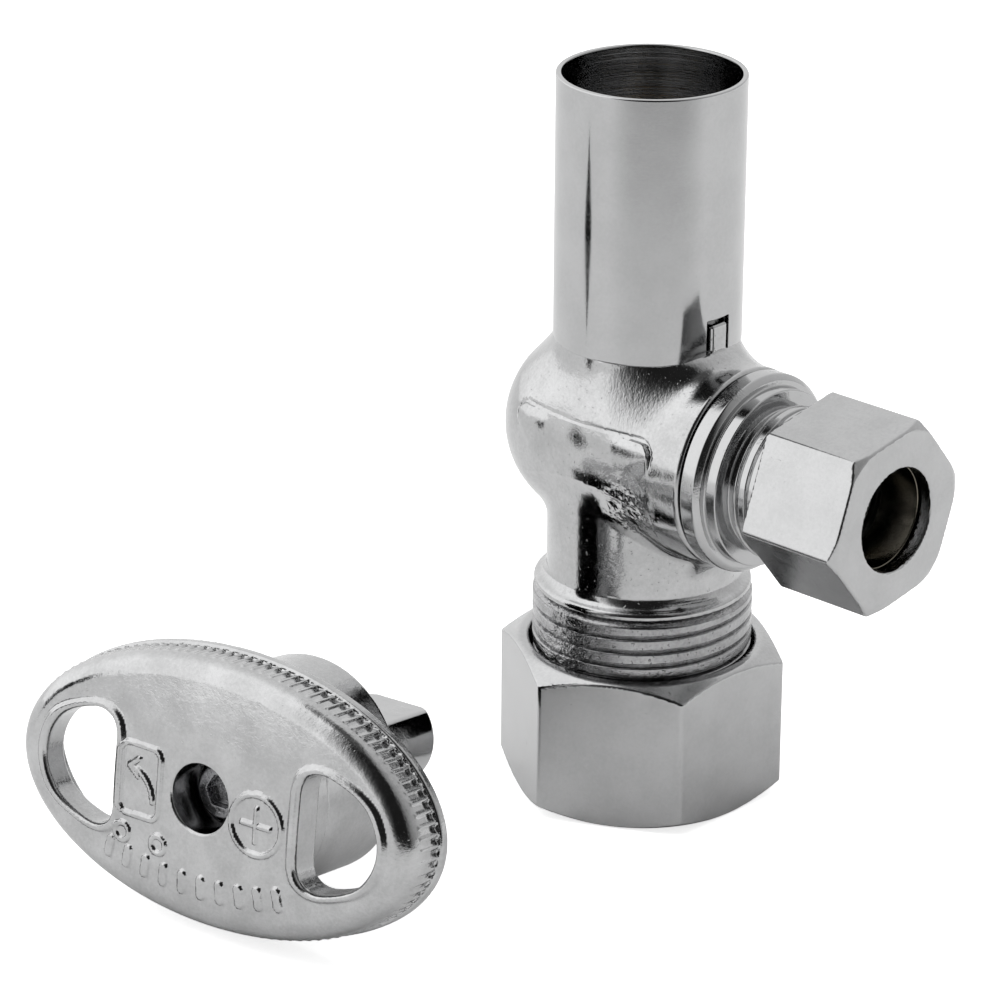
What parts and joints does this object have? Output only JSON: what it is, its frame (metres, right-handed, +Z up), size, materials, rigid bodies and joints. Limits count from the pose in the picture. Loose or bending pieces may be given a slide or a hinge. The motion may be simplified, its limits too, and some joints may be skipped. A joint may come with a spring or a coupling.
{
  "type": "quarter-turn angle stop valve with loose key",
  "caption": "Chrome angle stop valve: compression inlet below, compression outlet at the side, tube round a key-driven ball stem, with its loose oval key beside it.",
  "frame": {"origin": "middle of the whole set's outline, on the surface that the valve and its key stand on", "axes": "+Z up along the stem, +X out of the outlet, and the key lies on the -Y side"},
  "size_m": [0.0596, 0.068, 0.07],
  "materials": {
    "chrome_forging": "bright plate over a forged surface with a faint orange peel",
    "chrome_tube": "bright plate with fine turning lines and light scuffs",
    "chrome_turned": "bright plate over turned and threaded surfaces",
    "chrome_nut": "bright plate over fine brushed hexagon faces",
    "chrome_casting": "bright plate over a cast surface with a faint orange peel",
    "ball_chrome": "polished",
    "stem_brass": "turned",
    "ferrule_brass": "turned",
    "seat_plastic": "smooth white PTFE",
    "seal_rubber": "satin black nitrile rubber",
    "spring_steel": "stamped spring steel",
    "screw_steel": "plated steel"
  },
  "bodies": {
    "valve": {"valve_body": "chrome_forging", "shield_tube": "chrome_tube", "outlet_adapter": "chrome_turned", "adapter_o_ring": "seal_rubber", "front_seat": "seat_plastic", "rear_seat": "seat_plastic", "seat_o_ring": "seal_rubber", "stem_thrust_washer": "seat_plastic", "stem_retaining_ring": "spring_steel"},
    "stem_and_ball": {"stem": "stem_brass", "ball": "ball_chrome", "stem_o_ring_lower": "seal_rubber", "stem_o_ring_upper": "seal_rubber"},
    "inlet_sleeve": {"inlet_ferrule": "ferrule_brass"},
    "inlet_nut_body": {"inlet_nut": "chrome_nut"},
    "outlet_sleeve": {"outlet_ferrule": "ferrule_brass"},
    "outlet_nut_body": {"outlet_nut": "chrome_nut"},
    "key": {"key_handle": "chrome_casting", "key_shaft": "chrome_turned", "key_screw": "screw_steel", "key_screw_washer": "spring_steel"}
  },
  "joints": [
    {"name": "stem_turn", "type": "hinge", "parent": "valve", "child": "stem_and_ball", "pos_m": [0.00008, 0.02026, 0.035], "axis": [0, 0, 1], "range_deg": [-90, 0]},
    {"name": "inlet_nut_travel", "type": "slide", "parent": "valve", "child": "inlet_sleeve", "axis": [0, 0, 1], "range_m": [0, 0.0036]},
    {"name": "inlet_nut_turn", "type": "hinge", "parent": "inlet_sleeve", "child": "inlet_nut_body", "pos_m": [0.00008, 0.02026, 0.007], "axis": [0, 0, 1], "range_deg": [0, 900]},
    {"name": "outlet_nut_travel", "type": "slide", "parent": "valve", "child": "outlet_sleeve", "axis": [1, 0, 0], "range_m": [-0.0027, 0.0022]},
    {"name": "outlet_nut_turn", "type": "hinge", "parent": "outlet_sleeve", "child": "outlet_nut_body", "pos_m": [0.0246, 0.02026, 0.035], "axis": [1, 0, 0], "range_deg": [-900, 720]},
    {"name": "key_lift", "type": "slide", "parent": "valve", "child": "key", "axis": [0, 0, 1], "range_m": [0, 0.08]}
  ],
  "couplings": [
    {"joint": "inlet_nut_travel", "follows": "inlet_nut_turn", "m_per_rad": 0.00022459},
    {"joint": "outlet_nut_travel", "follows": "outlet_nut_turn", "m_per_rad": 0.00016844}
  ]
}
